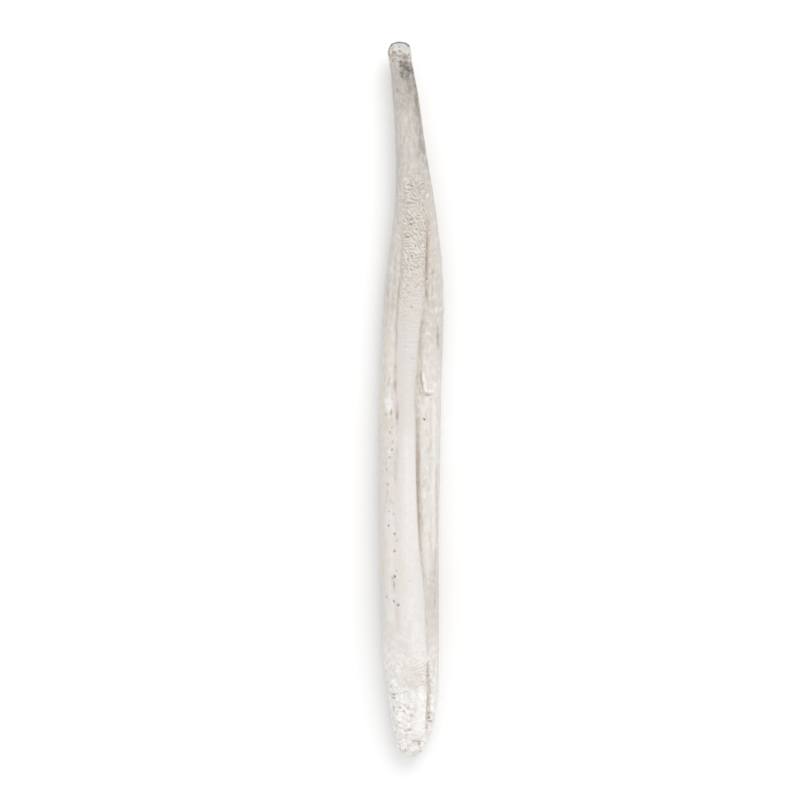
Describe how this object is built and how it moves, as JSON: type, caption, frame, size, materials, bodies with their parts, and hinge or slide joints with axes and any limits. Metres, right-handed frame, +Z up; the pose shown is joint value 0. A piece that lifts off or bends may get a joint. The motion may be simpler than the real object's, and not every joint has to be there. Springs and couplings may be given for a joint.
{
  "type": "wolf baculum",
  "caption": "Long, slender bone with a grooved underside, a rounded crest between shallow furrows along its back, a blunt porous base and a thin knobbed tip.",
  "frame": {"origin": "under the middle of the bone, on the surface it lies on", "axes": "+Y from the blunt base to the knobbed tip, +Z up out of the crest, +X to the right with the tip away from the viewer"},
  "size_m": [0.0118, 0.13, 0.0105],
  "materials": {
    "bone": "matt, dry cleaned bone"
  },
  "bodies": {
    "root": {"baculum": "bone"}
  },
  "joints": []
}
